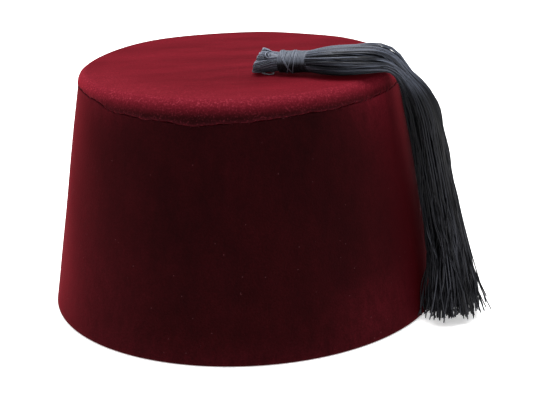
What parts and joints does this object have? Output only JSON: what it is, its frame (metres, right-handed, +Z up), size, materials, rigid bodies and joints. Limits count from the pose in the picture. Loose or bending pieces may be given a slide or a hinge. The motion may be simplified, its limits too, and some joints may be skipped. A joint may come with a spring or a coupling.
{
  "type": "fez hat",
  "caption": "Stiff velvet fez with a flat round top, sloping side, hand-sewn edge seam and a black tassel that falls over the edge.",
  "frame": {"origin": "centre of the rim, on the surface that the hat stands on, where the head goes in", "axes": "+Z up along the hat's axis; +X towards the side where the tassel hangs; -Y towards the side nearest to the tassel's head"},
  "size_m": [0.2015, 0.1896, 0.1281],
  "materials": {
    "velvet_side": "deep burgundy cotton velvet with the nap brushed down, on a stiff backing",
    "velvet_top": "deep burgundy cotton velvet with the nap lying one way across the top",
    "tassel_strands": "black twisted rayon cord with a soft shine",
    "wound_thread": "black rayon thread wound in close turns"
  },
  "bodies": {
    "root": {"crown_side": "velvet_side", "crown_top": "velvet_top", "tassel_hank": "tassel_strands", "tassel_binding": "wound_thread"}
  },
  "joints": []
}
